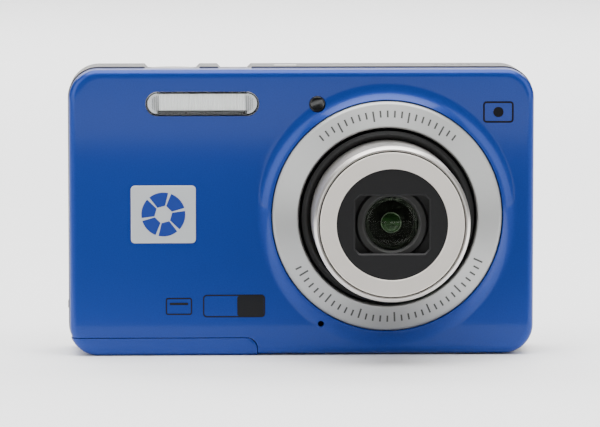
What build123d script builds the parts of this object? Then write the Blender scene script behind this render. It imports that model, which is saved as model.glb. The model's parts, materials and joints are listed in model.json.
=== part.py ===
from build123d import *
from math import asin, cos, pi, sin
import os

os.makedirs("parts", exist_ok=True)

# A pocket digital camera with a collapsing zoom lens. Millimetres, +Z up, the front faces -Y,
# and the origin is on the base, in the middle of the body's width and depth.

# ---- body ----
WIDTH = 91.5
HEIGHT = 56.5
FRONT_Y = -9.5
BACK_Y = 9.5
CORNER_R = 6.0
WALL = 1.0
SHELL_INSET = 0.25        # the front shell stands this far in from the middle frame
FRAME_WALL = 1.5
BACK_WALL = 1.2
EDGE_R = 1.5
SHELL_SPLIT = -4.2        # front shell meets the middle frame
COVER_SPLIT = 5.6         # middle frame meets the rear cover
SEAM = 0.05               # gap left along a split line
GAP = 0.12                # side gap round a moving or fitted piece
SLIDE_FIT = 0.06          # radial gap of a shaft in its bore

# ---- lens ----
LENS_X = 16.6
LENS_Z = 27.6
RING_R = 22.5
RING_BORE = 17.35
RING_FACE = -13.4
RING_EDGE = -10.9
FLARE_R = 25.8
FLARE_TOP = -11.0
BARREL_R = 15.0
BARREL_FACE = -29.0
BARREL_BACK = -10.4
RETRACT = 16.1
FRONT_R = 13.95
FRONT_FACE = -29.5
FRONT_BACK = -21.6
ZOOM_TRAVEL = 6.0
DISC_R = 10.6
OPENING_W = 14.2
OPENING_H = 11.1
OPENING_CLIP = 0.9
BLADE_TRAVEL = 5.45
CAM_R = 16.8
CAM_FACE = -13.2
CAM_BACK = 5.6
LENS_R = 5.1
LENS_FRONT = -27.8
BLADE_FACE = -28.5
BLADE_HALF = 7.35
SHUTTER_FACE = -20.9
FOCUS_FACE = 0.6
FOCUS_TRAVEL = 0.9
MOTOR_FACE = 3.2
SCREW_POS = (LENS_X + 9.5, LENS_Z + 3.0)
SCREW_R = 0.5
ROD_POS = (LENS_X - 10, LENS_Z)
ROD_R = 0.4
BASE_BORE = 16.88
BASE_R = 19.4
BASE_FRONT = -9.2
BASE_PLATE = 6.0
BASE_BACK = 6.8

# ---- gears of the zoom drive ----
MODULE = 0.35
CAM_TEETH = 100
GEAR_TEETH = 20
PINION_TEETH = 10
GEAR_FRONT = 3.6
GEAR_BACK = 5.2
GEAR_PIN_R = 0.7
TRAIN_ANGLE = -pi / 4     # the gear train runs down and to the right of the lens
CAM_TIP = MODULE * (CAM_TEETH / 2 + 0.9)
GEAR_TIP = MODULE * (GEAR_TEETH / 2 + 0.9)
GEAR_REACH = MODULE * (CAM_TEETH + GEAR_TEETH) / 2
PINION_REACH = GEAR_REACH + MODULE * (GEAR_TEETH + PINION_TEETH) / 2
GEAR_POS = (LENS_X + GEAR_REACH * cos(TRAIN_ANGLE), LENS_Z + GEAR_REACH * sin(TRAIN_ANGLE))
PINION_POS = (LENS_X + PINION_REACH * cos(TRAIN_ANGLE), LENS_Z + PINION_REACH * sin(TRAIN_ANGLE))

# ---- battery, card and door ----
DOOR_RIGHT = -8.8
DOOR_CORNER = 2.2
DOOR_LIP = 3.5
DOOR_BACK = 8.3
HINGE_Y = 6.9
HINGE_Z = 1.45
HINGE_R = 1.4
PIN_R = 0.6
DOOR_SLIDE = 2.0
BATTERY = (31.0, 6.4, 38.5)
BATTERY_LOW = (-41.0, -8.0, 3.3)
CARD = (24.0, 2.1, 32.0)
CARD_LOW = (-38.0, 0.5, 3.3)
BATTERY_TOP = BATTERY_LOW[2] + BATTERY[2]
LATCH_X = -9.4
DOOR_FLOOR = 1.3
DOOR_KNUCKLES = ((-46.0, -33.6), (-19.4, -10.3))
PIN_LEFT = -39.5
PIN_RIGHT = -10.9
SLIDER_LEFT = -33.3
SLIDER_RIGHT = -19.7
BOARD_Y = 3.6
SWITCH_Z = 52.2
FLASH_FRONT = -8.2
KEY_INNER = 7.35

# ---- controls and windows ----
SHUTTER_X = -25.3
SHUTTER_R = 4.4
POWER_X = -13.0
POWER_R = 1.55
BUTTON_Y = 0.7
POCKET_DEPTH = 0.8
SHUTTER_TRAVEL = 0.5
KEY_TRAVEL = 0.4
FLASH_X = -19.45
FLASH_Z = 49.5
FLASH_W = 22.1
FLASH_H = 4.7
FLASH_R = 2.3
LAMP_X = 3.0
LAMP_Z = 49.4
LAMP_R = 1.55
MIC_X = 3.7
MIC_Z = 6.3
SCREEN_X = 14.5
SCREEN_Z = 29.0
SCREEN_W = 57.0
SCREEN_H = 45.0
TRIPOD_X = 6.0
TRIPOD_R = 2.55
TRIPOD_OUTER = 4.4
TRIPOD_DEPTH = 6.0
TRIPOD_TOP = 7.0
LUG_Y = 0.9
LUG_Z = 38.5
PORT_Y = 6.1
PORT_T = 3.4
PORT_Z = 12.8
PORT_H = 9.6
BADGE_X = -27.1
BADGE_Z = 27.9
BADGE_W = 12.7
BADGE_H = 11.3
LIGHT_X = -3.0
LIGHT_W = 4.5
LIGHT_D = 1.6
SPEAKER_X = 30.0
THUMB_X = -40.6
THUMB_Z = 27.5
PAD_X = -26.5
PAD_Z = 27.0
PAD_R = 8.5
PAD_BORE = 4.2
SET_R = 3.9
ROCKER_X = -24.5
ROCKER_Z = 47.8
ROCKER_W = 12.5
ROCKER_H = 4.4
KEY_R = 2.3
RECORD_KEY = (-37.8, 47.0, KEY_R)
MENU_KEY = (-37.0, 38.0, KEY_R)
MODE_KEY = (-18.8, 39.2, KEY_R)
PLAY_KEY = (-34.4, 15.0, KEY_R)
ROUND_KEYS = (RECORD_KEY, MENU_KEY, MODE_KEY, PLAY_KEY)
# each case screw: x, z and the way it is driven along X or Z
SCREWS = (
    (26.0, 0.0, "up"),
    (38.0, 0.0, "up"),
    (WIDTH / 2, 14.0, "left"),
    (WIDTH / 2, 43.0, "left"),
    (-WIDTH / 2, 24.0, "right"),
)
LIGHT_ROOM = (
    (LIGHT_X - LIGHT_W / 2 - 0.05, BUTTON_Y - LIGHT_D / 2 - 0.05, HEIGHT - 5),
    (LIGHT_X + LIGHT_W / 2 + 0.05, BUTTON_Y + LIGHT_D / 2 + 0.05, HEIGHT + 1),
)
PORT_ROOM = (
    (-WIDTH, PORT_Y - PORT_T / 2 - 0.12, PORT_Z - PORT_H / 2 - 0.12),
    (-WIDTH / 2 + 3, PORT_Y + PORT_T / 2 + 0.12, PORT_Z + PORT_H / 2 + 0.12),
)

LENS_AXIS = Axis((LENS_X, 0, LENS_Z), (0, 1, 0))
LENS_SECTION = Plane(origin=(LENS_X, 0, LENS_Z), x_dir=(1, 0, 0), z_dir=(0, 0, 1))


def facing(y):
    """The upright plane at depth y, seen from the front: local x is X, local y is Z."""
    return Plane.XZ.offset(-y)


def turn(points, mode=Mode.ADD):
    """Turn a closed outline of (radius, depth) points about the lens axis."""
    with BuildSketch(LENS_SECTION) as outline:
        with BuildLine():
            Polyline(*points, close=True)
        make_face()
    revolve(outline.sketch, axis=LENS_AXIS, mode=mode)


def tube(inner, outer, front, back, mode=Mode.ADD):
    """A plain ring about the lens axis."""
    turn([(inner, front), (outer, front), (outer, back), (inner, back)], mode)


def disc(x, z, radius, front, back, mode=Mode.ADD):
    """A round bar along the depth, from front to back."""
    with BuildSketch(facing(back)) as outline:
        with Locations((x, z)):
            Circle(radius)
    extrude(outline.sketch, amount=back - front, mode=mode)


def upright(x, y, radius, low, high, mode=Mode.ADD):
    """A round bar along the height."""
    with BuildSketch(Plane.XY.offset(low)) as outline:
        with Locations((x, y)):
            Circle(radius)
    extrude(outline.sketch, amount=high - low, mode=mode)


def slab(low, high, mode=Mode.ADD):
    """A rectangular block between two corners."""
    size = [b - a for a, b in zip(low, high)]
    with Locations(low):
        Box(*size, align=(Align.MIN, Align.MIN, Align.MIN), mode=mode)


def shell_outline(y, inset, depth, radius):
    """A block of the body's outline, inset all round, that runs from y towards the front."""
    with BuildSketch(facing(y)) as outline:
        with Locations((0, HEIGHT / 2)):
            RectangleRounded(WIDTH - 2 * inset, HEIGHT - 2 * inset, radius)
    return extrude(outline.sketch, amount=depth, mode=Mode.PRIVATE)


def door_cut(gap):
    """The room the battery door takes at the body's bottom left corner, rounded at its top right."""
    right, top = DOOR_RIGHT + gap, DOOR_LIP + gap
    inward = DOOR_CORNER * (1 - cos(pi / 4))
    with BuildSketch(facing(DOOR_BACK + gap)) as outline:
        with BuildLine():
            ThreePointArc((right, top - DOOR_CORNER), (right - inward, top - inward), (right - DOOR_CORNER, top))
            Polyline(
                (right - DOOR_CORNER, top),
                (-WIDTH, top),
                (-WIDTH, -1),
                (right, -1),
                (right, top - DOOR_CORNER),
            )
        make_face()
    return extrude(outline.sketch, amount=DOOR_BACK - FRONT_Y + 2, mode=Mode.PRIVATE)


def top_pocket(x, half_width):
    """The shallow dished recess in the top edge that a top button stands in."""
    slope = 1.2
    floor = HEIGHT - POCKET_DEPTH
    with BuildSketch(facing(BACK_Y + 1)) as outline:
        with BuildLine():
            Polyline(
                (x - half_width, floor),
                (x + half_width, floor),
                (x + half_width + slope, HEIGHT + 0.5),
                (x - half_width - slope, HEIGHT + 0.5),
                close=True,
            )
        make_face()
    return extrude(outline.sketch, amount=BACK_Y + 1 - SHELL_SPLIT, mode=Mode.PRIVATE)


def screw_body(x, z, toward, gap):
    """A countersunk case screw whose head lies flush with the body's side or base."""
    turns = {"up": (0, 0, 1), "left": (-1, 0, 0), "right": (1, 0, 0)}
    with BuildSketch(Plane(origin=(x, BUTTON_Y, z), z_dir=turns[toward])) as outline:
        Circle(1.3 + gap)
    with BuildSketch(Plane(origin=(x, BUTTON_Y, z), z_dir=turns[toward])) as shank:
        Circle(0.7 + gap)
    head = extrude(outline.sketch, amount=0.6 + gap, mode=Mode.PRIVATE)
    return head + extrude(shank.sketch, amount=3.4 + gap, mode=Mode.PRIVATE)


def gear_blank(teeth, centre, phase, bore):
    """A spur gear of straight-sided teeth with one tooth at the angle phase."""
    tip = MODULE * (teeth / 2 + 0.9)
    root = MODULE * (teeth / 2 - 1.15)
    pitch = 2 * pi / teeth
    points = []
    for tooth in range(teeth):
        middle = phase + tooth * pitch
        for radius, share in ((root, -0.27), (tip, -0.1), (tip, 0.1), (root, 0.27)):
            angle = middle + share * pitch
            points.append((centre[0] + radius * cos(angle), centre[1] + radius * sin(angle)))
    with BuildSketch(facing(GEAR_BACK)) as outline:
        with BuildLine():
            Polyline(*points, close=True)
        make_face()
        if bore:
            with Locations(centre):
                Circle(bore, mode=Mode.SUBTRACT)
    return extrude(outline.sketch, amount=GEAR_BACK - GEAR_FRONT, mode=Mode.PRIVATE)


def knuckle(left, right, radius):
    """A round bar along the door's hinge line."""
    with BuildSketch(Plane.YZ.offset(left)) as outline:
        with Locations((HINGE_Y, HINGE_Z)):
            Circle(radius)
    return extrude(outline.sketch, amount=right - left, mode=Mode.PRIVATE)


def cap(radius, edge, crown):
    """Three points of a spherical lens face, from the crown on the axis out to the rim."""
    rise = edge - crown
    bend = (radius**2 + rise**2) / (2 * rise)
    half = asin(radius / bend) / 2
    return (0, crown), (bend * sin(half), crown + bend * (1 - cos(half))), (radius, edge)


# ================= case =================

with BuildPart() as front_shell:
    add(shell_outline(SHELL_SPLIT - SEAM, SHELL_INSET, SHELL_SPLIT - SEAM - FRONT_Y, CORNER_R - SHELL_INSET))
    fillet(front_shell.faces().sort_by(Axis.Y)[0].edges(), EDGE_R)
    # the front swells into a low trumpet collar round the lens ring
    with BuildSketch(LENS_SECTION):
        with BuildLine():
            rise = TangentArc((FLARE_R, FRONT_Y), (RING_R + GAP + 0.15, FLARE_TOP), tangent=(-1, 0))
            Polyline(
                rise @ 1,
                (RING_R + GAP + 0.15, FRONT_Y + 0.8),
                (FLARE_R, FRONT_Y + 0.8),
                (FLARE_R, FRONT_Y),
            )
        make_face()
    revolve(axis=LENS_AXIS)
    cavity_depth = SHELL_SPLIT - FRONT_Y - WALL
    cavity = shell_outline(SHELL_SPLIT, SHELL_INSET + WALL, cavity_depth, CORNER_R - SHELL_INSET - WALL)
    add(cavity, mode=Mode.SUBTRACT)
    disc(LENS_X, LENS_Z, RING_R + GAP, FRONT_Y - 3, FRONT_Y + 2, Mode.SUBTRACT)
    disc(LAMP_X, LAMP_Z, LAMP_R + 0.08, FRONT_Y - 3, FRONT_Y + 2, Mode.SUBTRACT)
    disc(MIC_X, MIC_Z, 0.6, FRONT_Y - 3, FRONT_Y + 2, Mode.SUBTRACT)
    with BuildSketch(facing(FRONT_Y + 2)):
        with Locations((FLASH_X, FLASH_Z)):
            RectangleRounded(FLASH_W + 0.12, FLASH_H + 0.12, FLASH_R + 0.06)
    extrude(amount=4, mode=Mode.SUBTRACT)
    with BuildSketch(facing(FRONT_Y + 0.35)):
        with Locations((BADGE_X, BADGE_Z)):
            RectangleRounded(BADGE_W + 0.1, BADGE_H + 0.1, 0.8)
    extrude(amount=1, mode=Mode.SUBTRACT)
    add(door_cut(GAP), mode=Mode.SUBTRACT)

with BuildPart() as middle_frame:
    add(shell_outline(COVER_SPLIT, 0, COVER_SPLIT - SHELL_SPLIT, CORNER_R))
    frame_inner = shell_outline(COVER_SPLIT + 1, FRAME_WALL, 20, CORNER_R - FRAME_WALL)
    add(frame_inner, mode=Mode.SUBTRACT)
    add(top_pocket(SHUTTER_X, SHUTTER_R + 0.35), mode=Mode.SUBTRACT)
    add(top_pocket(POWER_X, POWER_R + 1.1), mode=Mode.SUBTRACT)
    upright(SHUTTER_X, BUTTON_Y, SHUTTER_R + GAP, HEIGHT - 5, HEIGHT + 1, Mode.SUBTRACT)
    upright(POWER_X, BUTTON_Y, POWER_R + GAP, HEIGHT - 5, HEIGHT + 1, Mode.SUBTRACT)
    upright(TRIPOD_X, BUTTON_Y, TRIPOD_OUTER + 0.05, -1, 3, Mode.SUBTRACT)
    slab(*LIGHT_ROOM, mode=Mode.SUBTRACT)
    for across in range(-2, 3):
        upright(SPEAKER_X + 1.6 * across, BUTTON_Y, 0.45, HEIGHT - 5, HEIGHT + 1, Mode.SUBTRACT)
    slab((-WIDTH, LUG_Y - 2.3, LUG_Z - 3), (-WIDTH / 2 + 2, LUG_Y + 2.3, LUG_Z + 3), Mode.SUBTRACT)
    slab(*PORT_ROOM, mode=Mode.SUBTRACT)
    for x, z, toward in SCREWS:
        add(screw_body(x, z, toward, 0.06), mode=Mode.SUBTRACT)
    add(door_cut(GAP), mode=Mode.SUBTRACT)

with BuildPart() as rear_cover:
    add(shell_outline(BACK_Y, 0, BACK_Y - COVER_SPLIT - SEAM, CORNER_R))
    fillet(rear_cover.faces().sort_by(Axis.Y)[-1].edges(), EDGE_R)
    cover_inner = shell_outline(BACK_Y - BACK_WALL, WALL, 20, CORNER_R - WALL)
    add(cover_inner, mode=Mode.SUBTRACT)
    # thumb rest: rows of low dots beside the keys
    with BuildSketch(facing(BACK_Y + 0.35)):
        with Locations((THUMB_X, THUMB_Z)):
            with GridLocations(1.9, 1.9, 3, 5):
                Circle(0.55)
    extrude(amount=0.6)
    add(top_pocket(SHUTTER_X, SHUTTER_R + 0.35), mode=Mode.SUBTRACT)
    add(top_pocket(POWER_X, POWER_R + 1.1), mode=Mode.SUBTRACT)
    with BuildSketch(facing(BACK_Y + 1)):
        with Locations((SCREEN_X, SCREEN_Z)):
            RectangleRounded(SCREEN_W + 0.12, SCREEN_H + 0.12, 2.0)
    extrude(amount=4, mode=Mode.SUBTRACT)
    for x, z, radius in ROUND_KEYS:
        disc(x, z, radius + GAP, BACK_Y - 3, BACK_Y + 1, Mode.SUBTRACT)
    disc(PAD_X, PAD_Z, PAD_R + 0.25, BACK_Y - 3, BACK_Y + 1, Mode.SUBTRACT)
    with BuildSketch(facing(BACK_Y + 1)):
        with Locations((ROCKER_X, ROCKER_Z)):
            RectangleRounded(ROCKER_W + 0.5, ROCKER_H + 0.4, 1.5)
    extrude(amount=4, mode=Mode.SUBTRACT)
    slab(*PORT_ROOM, mode=Mode.SUBTRACT)
    add(door_cut(GAP), mode=Mode.SUBTRACT)
    # room for the swinging door's inner edge beside the hinge
    slab((-14.0, COVER_SPLIT - 1, -1), (DOOR_RIGHT + GAP, DOOR_BACK + GAP, DOOR_LIP + GAP), Mode.SUBTRACT)

with BuildPart() as lens_ring:
    turn([
        (RING_BORE, RING_FACE + 0.35),
        (RING_BORE + 0.3, RING_FACE),
        (RING_R - 0.55, RING_EDGE - 0.35),
        (RING_R, RING_EDGE + 0.1),
        (RING_R, BASE_FRONT - SEAM),
        (RING_BORE, BASE_FRONT - SEAM),
    ])

with BuildPart() as badge_plate:
    with BuildSketch(facing(FRONT_Y + 0.34)):
        with Locations((BADGE_X, BADGE_Z)):
            RectangleRounded(BADGE_W, BADGE_H, 0.8)
    extrude(amount=0.5)
    chamfer(badge_plate.faces().sort_by(Axis.Y)[0].edges(), 0.12)

with BuildPart() as strap_lug:
    slab((-WIDTH / 2 + 0.15, LUG_Y - 2.2, LUG_Z - 2.9), (-WIDTH / 2 + 3.1, LUG_Y + 2.2, LUG_Z + 2.9))
    slab((-WIDTH, LUG_Y - 1.7, LUG_Z - 2.4), (-WIDTH / 2 + 2.6, LUG_Y + 1.7, LUG_Z + 2.4), Mode.SUBTRACT)
    upright(-WIDTH / 2 + 0.9, LUG_Y, 0.6, LUG_Z - 2.6, LUG_Z + 2.6)

with BuildPart() as tripod_socket:
    upright(TRIPOD_X, BUTTON_Y, TRIPOD_OUTER, 0, TRIPOD_TOP)
    upright(TRIPOD_X, BUTTON_Y, TRIPOD_OUTER + 1.3, FRAME_WALL + SEAM, FRAME_WALL + 1)
    upright(TRIPOD_X, BUTTON_Y, TRIPOD_R, -1, TRIPOD_DEPTH, Mode.SUBTRACT)

with BuildPart() as case_screws:
    for x, z, toward in SCREWS:
        add(screw_body(x, z, toward, 0))

with BuildPart() as indicator_light:
    with BuildSketch(Plane.XY.offset(HEIGHT - FRAME_WALL - 0.4)):
        with Locations((LIGHT_X, BUTTON_Y)):
            RectangleRounded(LIGHT_W, LIGHT_D, 0.7)
    extrude(amount=FRAME_WALL + 0.45)

with BuildPart() as port_cover:
    slab(
        (-WIDTH / 2 - 0.05, PORT_Y - PORT_T / 2, PORT_Z - PORT_H / 2),
        (-WIDTH / 2 + 0.85, PORT_Y + PORT_T / 2, PORT_Z + PORT_H / 2),
    )
    slab(
        (-WIDTH / 2 - 0.35, PORT_Y - 0.9, PORT_Z - PORT_H / 2),
        (-WIDTH / 2, PORT_Y + 0.9, PORT_Z - PORT_H / 2 + 1.4),
    )

# ================= lens =================

with BuildPart() as lens_base:
    tube(BASE_BORE, BASE_R, BASE_FRONT + 0.5, BASE_BACK)
    tube(BASE_BORE, RING_R - 0.2, BASE_FRONT, BASE_FRONT + 0.6)
    tube(0, BASE_BORE + 0.1, BASE_PLATE, BASE_BACK)
    tube(BASE_BORE - 1, CAM_TIP + 0.5, GEAR_FRONT - 0.3, GEAR_BACK + 0.3, Mode.SUBTRACT)
    # the back plate reaches out to carry the drive gear's pin and the zoom motor
    with BuildSketch(facing(BASE_BACK)) as reach:
        with Locations((GEAR_POS[0], GEAR_POS[1]), (PINION_POS[0], PINION_POS[1])):
            Circle(5.0)
    extrude(amount=BASE_BACK - BASE_PLATE)
    disc(*GEAR_POS, GEAR_TIP + 0.4, GEAR_FRONT - 0.3, GEAR_BACK + 0.3, Mode.SUBTRACT)
    disc(*GEAR_POS, GEAR_PIN_R, GEAR_FRONT - 0.8, BASE_PLATE + 0.1)
    disc(*ROD_POS, ROD_R, FOCUS_FACE - 1.2, BASE_PLATE + 0.1)

with BuildPart() as cam_ring:
    turn([
        (BARREL_R + 0.75, CAM_FACE),
        (CAM_R, CAM_FACE),
        (CAM_R, CAM_BACK),
        (BARREL_R + SLIDE_FIT, CAM_BACK),
        (BARREL_R + SLIDE_FIT, CAM_FACE + 0.9),
    ])
    add(gear_blank(CAM_TEETH, (LENS_X, LENS_Z), 0, CAM_R - 0.3))

with BuildPart() as zoom_barrel:
    turn([
        (FRONT_R + SLIDE_FIT, BARREL_FACE),
        (FRONT_R + 0.4, BARREL_FACE),
        (BARREL_R, BARREL_FACE + 0.75),
        (BARREL_R, BARREL_BACK),
        (FRONT_R + SLIDE_FIT, BARREL_BACK),
    ])

with BuildPart() as front_barrel:
    tube(FRONT_R - 1, FRONT_R, FRONT_FACE + 0.75, FRONT_BACK)

with BuildPart() as front_bezel:
    tube(DISC_R + 0.05, FRONT_R, FRONT_FACE, FRONT_FACE + 0.7)
    fillet(front_bezel.faces().sort_by(Axis.Y)[0].edges(), 0.15)

with BuildPart() as barrier_plate:
    tube(0, DISC_R, FRONT_FACE + 0.2, FRONT_FACE + 0.9)
    with BuildSketch(facing(FRONT_FACE + 2)):
        with Locations((LENS_X, LENS_Z)):
            Rectangle(OPENING_W, OPENING_H)
        chamfer(vertices(), OPENING_CLIP)
    extrude(amount=4, mode=Mode.SUBTRACT)
    chamfer(barrier_plate.faces().sort_by(Axis.Y)[0].inner_wires()[0].edges(), 0.3)

with BuildPart() as lens_holder:
    turn([
        (LENS_R - 0.9, LENS_FRONT + 3.6),
        (LENS_R - 0.9, LENS_FRONT + 2.7),
        (LENS_R + SLIDE_FIT, LENS_FRONT + 2.7),
        (LENS_R + SLIDE_FIT, LENS_FRONT + 0.75),
        (LENS_R + 0.5, LENS_FRONT + 0.25),
        (LENS_R + 1.5, LENS_FRONT + 0.25),
        (LENS_R + 1.9, LENS_FRONT + 1.1),
        (FRONT_R - 1.05, LENS_FRONT + 1.1),
        (FRONT_R - 1.05, LENS_FRONT + 3.6),
    ])

with BuildPart() as front_lens:
    with BuildSketch(LENS_SECTION):
        with BuildLine():
            crown = ThreePointArc(*cap(LENS_R, LENS_FRONT + 1.15, LENS_FRONT))
            Polyline(
                crown @ 1,
                (LENS_R, LENS_FRONT + 2.6),
                (LENS_R - 1.6, LENS_FRONT + 2.6),
                (0, LENS_FRONT + 2.0),
                crown @ 0,
            )
        make_face()
    revolve(axis=LENS_AXIS)


def barrier_blade(side):
    """Half of the lens barrier: a plate with clipped outer corners, above (+1) or below (-1)."""
    low = LENS_Z + side * (BLADE_TRAVEL + 0.08)
    with BuildSketch(facing(BLADE_FACE + 0.35)) as outline:
        with BuildLine():
            Polyline(
                (LENS_X - BLADE_HALF, low),
                (LENS_X + BLADE_HALF, low),
                (LENS_X + BLADE_HALF, low + side * 4.6),
                (LENS_X + BLADE_HALF - 1.15, low + side * 5.6),
                (LENS_X - BLADE_HALF + 1.15, low + side * 5.6),
                (LENS_X - BLADE_HALF, low + side * 4.6),
                close=True,
            )
        make_face()
    return extrude(outline.sketch, amount=0.35, mode=Mode.PRIVATE)


with BuildPart() as upper_barrier_blade:
    add(barrier_blade(1))

with BuildPart() as lower_barrier_blade:
    add(barrier_blade(-1))

with BuildPart() as shutter_unit:
    tube(3.2, FRONT_R + SLIDE_FIT, SHUTTER_FACE, SHUTTER_FACE + 1.6)
    tube(4.05, 6.4, SHUTTER_FACE + 1.5, SHUTTER_FACE + 4.0)

with BuildPart() as middle_lens:
    with BuildSketch(LENS_SECTION):
        with BuildLine():
            back = ThreePointArc(*cap(4.0, SHUTTER_FACE + 3.6, SHUTTER_FACE + 4.4))
            Polyline(back @ 1, (4.0, SHUTTER_FACE + 2.6), (0, SHUTTER_FACE + 1.9), back @ 0)
        make_face()
    revolve(axis=LENS_AXIS)


with BuildPart() as focus_frame:
    tube(4.06, 6.2, FOCUS_FACE, FOCUS_FACE + 1.4)
    slab((LENS_X + 5.2, FOCUS_FACE, LENS_Z + 1.6), (LENS_X + 11.2, FOCUS_FACE + 1.2, LENS_Z + 4.4))
    disc(*SCREW_POS, 1.6, FOCUS_FACE, FOCUS_FACE + 1.2)
    disc(*SCREW_POS, SCREW_R + SLIDE_FIT, FOCUS_FACE - 1, FOCUS_FACE + 3, Mode.SUBTRACT)
    slab((LENS_X - 11.2, FOCUS_FACE, LENS_Z - 1.3), (LENS_X - 5.2, FOCUS_FACE + 1.2, LENS_Z + 1.3))
    disc(*ROD_POS, ROD_R + SLIDE_FIT, FOCUS_FACE - 1, FOCUS_FACE + 3, Mode.SUBTRACT)

with BuildPart() as focus_lens:
    with BuildSketch(LENS_SECTION):
        with BuildLine():
            bulge = ThreePointArc(*cap(4.0, FOCUS_FACE + 0.3, FOCUS_FACE - 0.3))
            Polyline(bulge @ 1, (4.0, FOCUS_FACE + 1.2), (0, FOCUS_FACE + 1.0), bulge @ 0)
        make_face()
    revolve(axis=LENS_AXIS)


with BuildPart() as focus_screw:
    disc(*SCREW_POS, SCREW_R, FOCUS_FACE - 1.4, MOTOR_FACE + 0.6)

with BuildPart() as focus_motor:
    disc(*SCREW_POS, 1.8, MOTOR_FACE, BASE_PLATE - SEAM)
    disc(*SCREW_POS, SCREW_R + SLIDE_FIT, MOTOR_FACE - 1, MOTOR_FACE + 0.65, Mode.SUBTRACT)

with BuildPart() as image_sensor:
    slab((LENS_X - 4.7, 4.0, LENS_Z - 4.2), (LENS_X + 4.7, 5.1, LENS_Z + 4.2))
    slab((LENS_X - 3.9, 3.6, LENS_Z - 3.4), (LENS_X + 3.9, 4.1, LENS_Z + 3.4))

with BuildPart() as sensor_plate:
    slab((LENS_X - 8, 5.15, LENS_Z - 7), (LENS_X + 6.5, BASE_PLATE - SEAM, LENS_Z + 5.5))

with BuildPart() as zoom_motor:
    disc(*PINION_POS, 3.3, -6.5, GEAR_FRONT - 0.5)
    disc(*PINION_POS, 0.5, -7.0, BASE_PLATE - SEAM)

with BuildPart() as motor_pinion:
    add(gear_blank(PINION_TEETH, PINION_POS, TRAIN_ANGLE + pi + pi / PINION_TEETH, 0))
    disc(*PINION_POS, 0.5 + SLIDE_FIT, GEAR_FRONT - 1, GEAR_BACK + 1, Mode.SUBTRACT)

with BuildPart() as drive_gear:
    add(gear_blank(GEAR_TEETH, GEAR_POS, TRAIN_ANGLE + pi, 0))
    disc(*GEAR_POS, GEAR_PIN_R + SLIDE_FIT, GEAR_FRONT - 1, GEAR_BACK + 1, Mode.SUBTRACT)

# ================= battery, card and door =================

with BuildPart() as battery:
    slab(BATTERY_LOW, [a + b for a, b in zip(BATTERY_LOW, BATTERY)])
    fillet(battery.edges().filter_by(Axis.Z), 1.6)
    # a contact strip is let into the top end
    slab(
        (BATTERY_LOW[0] + 8, BATTERY_LOW[1] + 2, BATTERY_TOP - 0.2),
        (BATTERY_LOW[0] + 17, BATTERY_LOW[1] + 4.4, BATTERY_TOP + 1),
        Mode.SUBTRACT,
    )

with BuildPart() as battery_case:
    slab(
        (BATTERY_LOW[0] - 0.75, BATTERY_LOW[1] - 0.4, BATTERY_LOW[2] + 1.2),
        (BATTERY_LOW[0] + BATTERY[0] + 0.7, BATTERY_LOW[1] + BATTERY[1] + 0.6, BATTERY_TOP + 2.2),
    )
    slab(
        (BATTERY_LOW[0] - 0.1, BATTERY_LOW[1] - 0.1, 0),
        (BATTERY_LOW[0] + BATTERY[0] + 0.1, BATTERY_LOW[1] + BATTERY[1] + 0.1, BATTERY_TOP + 1.4),
        Mode.SUBTRACT,
    )

with BuildPart() as battery_contacts:
    slab(
        (BATTERY_LOW[0] + 8.2, BATTERY_LOW[1] + 2.2, BATTERY_TOP + 0.5),
        (BATTERY_LOW[0] + 16.8, BATTERY_LOW[1] + 4.2, BATTERY_TOP + 1.4),
    )
    for pole in range(3):
        x = BATTERY_LOW[0] + 9.4 + 2.6 * pole
        slab((x, BATTERY_LOW[1] + 2.8, BATTERY_TOP - 0.15), (x + 1, BATTERY_LOW[1] + 3.6, BATTERY_TOP + 0.6))

with BuildPart() as battery_latch:
    slab((LATCH_X - 2.0, -6.6, 2.2), (LATCH_X + 1.2, -4.0, 3.1))
    slab((LATCH_X + 0.3, -6.6, 2.2), (LATCH_X + 1.2, -4.0, 7.0))

with BuildPart() as card_slot:
    slab(
        (CARD_LOW[0] - 0.4, CARD_LOW[1] - 0.4, CARD_LOW[2] + 1.5),
        (CARD_LOW[0] + CARD[0] + 0.4, CARD_LOW[1] + CARD[1] + 0.4, CARD_LOW[2] + CARD[2] + 1.2),
    )
    slab(
        (CARD_LOW[0] - 0.1, CARD_LOW[1] - 0.1, 0),
        (CARD_LOW[0] + CARD[0] + 0.1, CARD_LOW[1] + CARD[1] + 0.1, CARD_LOW[2] + CARD[2] + 0.5),
        Mode.SUBTRACT,
    )

with BuildPart() as memory_card:
    slab(CARD_LOW, [a + b for a, b in zip(CARD_LOW, CARD)])
    chamfer(memory_card.edges().filter_by(Axis.Y).group_by(Axis.Z)[-1].sort_by(Axis.X)[-1], 3.0)

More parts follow.
